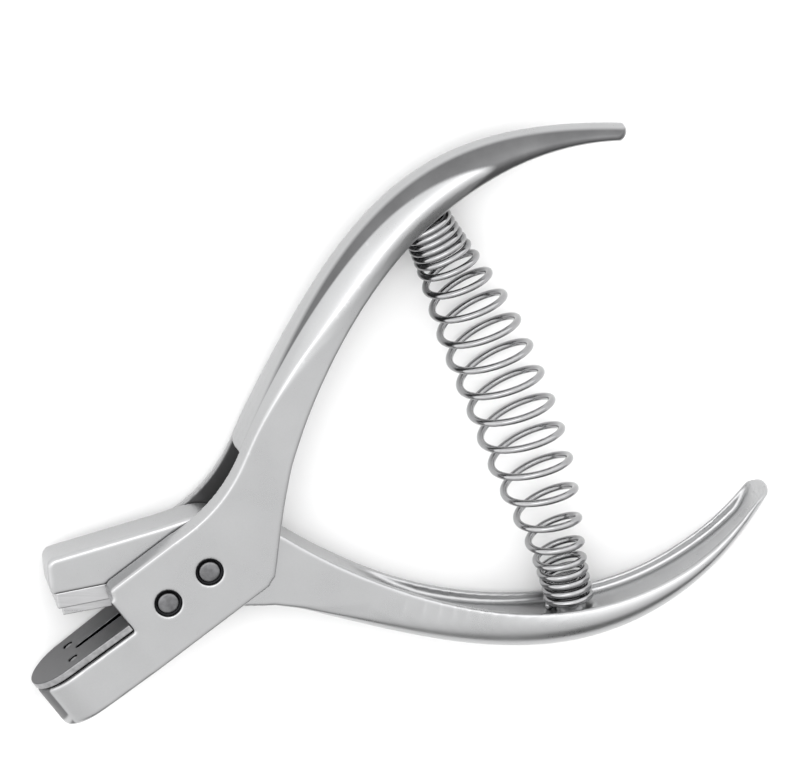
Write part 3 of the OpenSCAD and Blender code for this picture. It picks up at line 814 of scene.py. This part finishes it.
def spring_mesh(per_turn=56, sides=14):
    """The spring's wire, swept along its coils and closed at both ends."""
    turn, place = coil_places(per_turn)
    centre = bezier(SPRING_LINE, place)
    after, before = np.minimum(place + 0.01, 1), np.maximum(place - 0.01, 0)
    ahead = bezier(SPRING_LINE, after) - bezier(SPRING_LINE, before)
    ahead /= np.linalg.norm(ahead, axis=1)[:, None]
    side = np.stack([ahead[:, 1], -ahead[:, 0]], 1)
    swell = np.where(place < 0.5, ramp(place, 0.02, 0.5), ramp(1 - place, 0.04, 0.5))
    swell = np.sin(math.pi / 2 * swell)
    radius = np.where(place < 0.5, mix(COIL_TOP, COIL_MID, swell), mix(COIL_END, COIL_MID, swell))
    a = 2 * math.pi * turn
    b = 2 * math.pi * np.arange(sides) / sides
    rr = radius[:, None] + WIRE_D / 2 * np.cos(b)[None, :]
    h = np.tile(WIRE_D / 2 * np.sin(b), (len(turn), 1))
    x = centre[:, :1] + side[:, :1] * rr * np.cos(a)[:, None] + ahead[:, :1] * h
    y = centre[:, 1:] + side[:, 1:] * rr * np.cos(a)[:, None] + ahead[:, 1:] * h
    z = rr * np.sin(a)[:, None]
    points = np.stack([x, y, z], 2).reshape(-1, 3) + np.array([pivot.x, pivot.y, MID_Z])
    j, k = np.meshgrid(np.arange(len(turn) - 1), np.arange(sides), indexing="ij")
    j, k = j.ravel(), k.ravel()
    nxt = (k + 1) % sides
    faces = np.stack([j * sides + k, j * sides + nxt, (j + 1) * sides + nxt, (j + 1) * sides + k], 1)
    faces = [tuple(f) for f in faces.tolist()]
    last = (len(turn) - 1) * sides
    faces += [tuple(range(sides))[::-1], tuple(range(last, last + sides))]
    mesh = bpy.data.meshes.new("spring_wire")
    mesh.from_pydata((points * MM).tolist(), [], faces)
    work = bmesh.new()
    work.from_mesh(mesh)
    bmesh.ops.recalc_face_normals(work, faces=work.faces)
    work.to_mesh(mesh)
    work.free()
    mesh.shade_smooth()
    obj = bpy.data.objects.new("spring_wire", mesh)
    bpy.context.scene.collection.objects.link(obj)
    return obj


spring = spring_mesh()
spring.data.materials.append(spring_steel)
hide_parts("return_spring")
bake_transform(spring)

for name, node, body, end, coil in (("upper_peg", "upper_spring_stud", "die_side", "upper", COIL_TOP),
                                    ("lower_peg", "lower_spring_stud", "punch_side", "lower", COIL_END)):
    seat, into = spring_seat(end)
    r = coil - WIRE_D / 2 - 0.4
    profile = [(0, -0.5), (r, -0.5), (r, 0), (r, PEG_SHANK)]
    profile += [(r - PEG_ROUND + PEG_ROUND * math.cos(t), PEG_SHANK + PEG_ROUND * math.sin(t))
                for t in np.linspace(0, math.pi / 2, 9)]
    profile += [(r * 0.4, 6.95), (0, 6.98)]
    foot = (seat[0] + pivot.x, seat[1] + pivot.y, MID_Z)
    peg = lathe(name, profile, foot, (-into[0], -into[1], 0), 64)
    finished(peg, body, "cast_body", stud_steel, node)

# ---------------------------------------------------------------- camera, floor and lights

# The camera looks from the handles' side, 21 degrees off the pin direction.
TILT = math.radians(21)
ROW = Vector((0.907, 0.42, 0)).normalized()
COLUMN = Vector((-0.42, 0.907, 0)).normalized()
towards = COLUMN * math.sin(TILT) + Vector((0, 0, math.cos(TILT)))
column = COLUMN * math.cos(TILT) - Vector((0, 0, math.sin(TILT)))
right = ROW * 0.907 - column * 0.42
up = ROW * 0.42 + column * 0.907
VIEW_W = 162.6
LENS = 900.0


def from_picture(across, upward):
    """Point of the tool's top plane, seen this far across and up from the pivot's end face."""
    a = across * -0.42 + upward * 0.907
    b = across * 0.907 + upward * 0.42
    return Vector((pivot.x, pivot.y, HEAD_W)) + COLUMN * (a / math.cos(TILT)) + ROW * b


look_at = from_picture(47.15, 43.76)
camera_data = bpy.data.cameras.new("camera")
camera_data.lens = LENS
camera_data.sensor_width = 36
camera_data.clip_start = 0.1
camera_data.clip_end = 100
camera = bpy.data.objects.new("camera", camera_data)
bpy.context.scene.collection.objects.link(camera)
distance = VIEW_W * LENS / camera_data.sensor_width
camera.matrix_world = Matrix.Translation((look_at + towards * distance) * MM) @ Matrix(
    (right, up, towards)).transposed().to_4x4()
bpy.context.scene.camera = camera
bpy.context.scene.view_settings.view_transform = "Standard"

# half width of the floor, and its height just under the spring's coils
FLOOR = 3000
FLOOR_Z = -0.6
floor_corners = [(x * FLOOR, y * FLOOR, FLOOR_Z) for x, y in ((-1, -1), (1, -1), (1, 1), (-1, 1))]
floor = mesh_object("floor", floor_corners, [(0, 1, 2, 3)])
paint = Graph("floor_paint")
floor.data.materials.append(paint.finish((0.84, 0.84, 0.84, 1), 0.9, 0.0))

world = bpy.data.worlds.new("studio")
bpy.context.scene.world = world
world.use_nodes = True
nodes, links = world.node_tree.nodes, world.node_tree.links
direction = nodes.new("ShaderNodeTexCoord").outputs["Generated"]
along = nodes.new("ShaderNodeVectorMath")
along.operation = "DOT_PRODUCT"
links.new(direction, along.inputs[0])
along.inputs[1].default_value = COLUMN
shade = nodes.new("ShaderNodeValToRGB")
half_range = nodes.new("ShaderNodeMapRange")
half_range.inputs["From Min"].default_value = -1
links.new(along.outputs["Value"], half_range.inputs["Value"])
links.new(half_range.outputs["Result"], shade.inputs["Fac"])
# brightness of the dome, from the side below the picture to the side above it
DOME = ((-1.0, 0.10), (-0.86, 0.28), (-0.74, 0.95), (-0.6, 1.15), (-0.4, 1.25), (-0.15, 1.6), (0.2, 2.3),
        (0.5, 2.0), (0.75, 1.6), (1.0, 1.55))
DOME_MAX = 2.3
ramp_stops = shade.color_ramp.elements
while len(ramp_stops) < len(DOME):
    ramp_stops.new(0.5)
for stop, (where, level) in zip(ramp_stops, DOME):
    stop.position = (where + 1) / 2
    stop.color = (level / DOME_MAX,) * 3 + (1,)
links.new(shade.outputs["Color"], nodes["Background"].inputs["Color"])
nodes["Background"].inputs["Strength"].default_value = DOME_MAX


def softbox(name, place, size, power):
    """A large area lamp that faces the tool."""
    data = bpy.data.lights.new(name, "AREA")
    data.shape = "RECTANGLE"
    data.size, data.size_y = size
    data.energy = power
    lamp = bpy.data.objects.new(name, data)
    bpy.context.scene.collection.objects.link(lamp)
    lamp.location = look_at * MM + Vector(place)
    lamp.rotation_euler = (-Vector(place)).to_track_quat("-Z", "Y").to_euler()


softbox("key", COLUMN * 0.35 + Vector((-0.1, 0, 0.9)), (0.9, 0.3), 1.5)
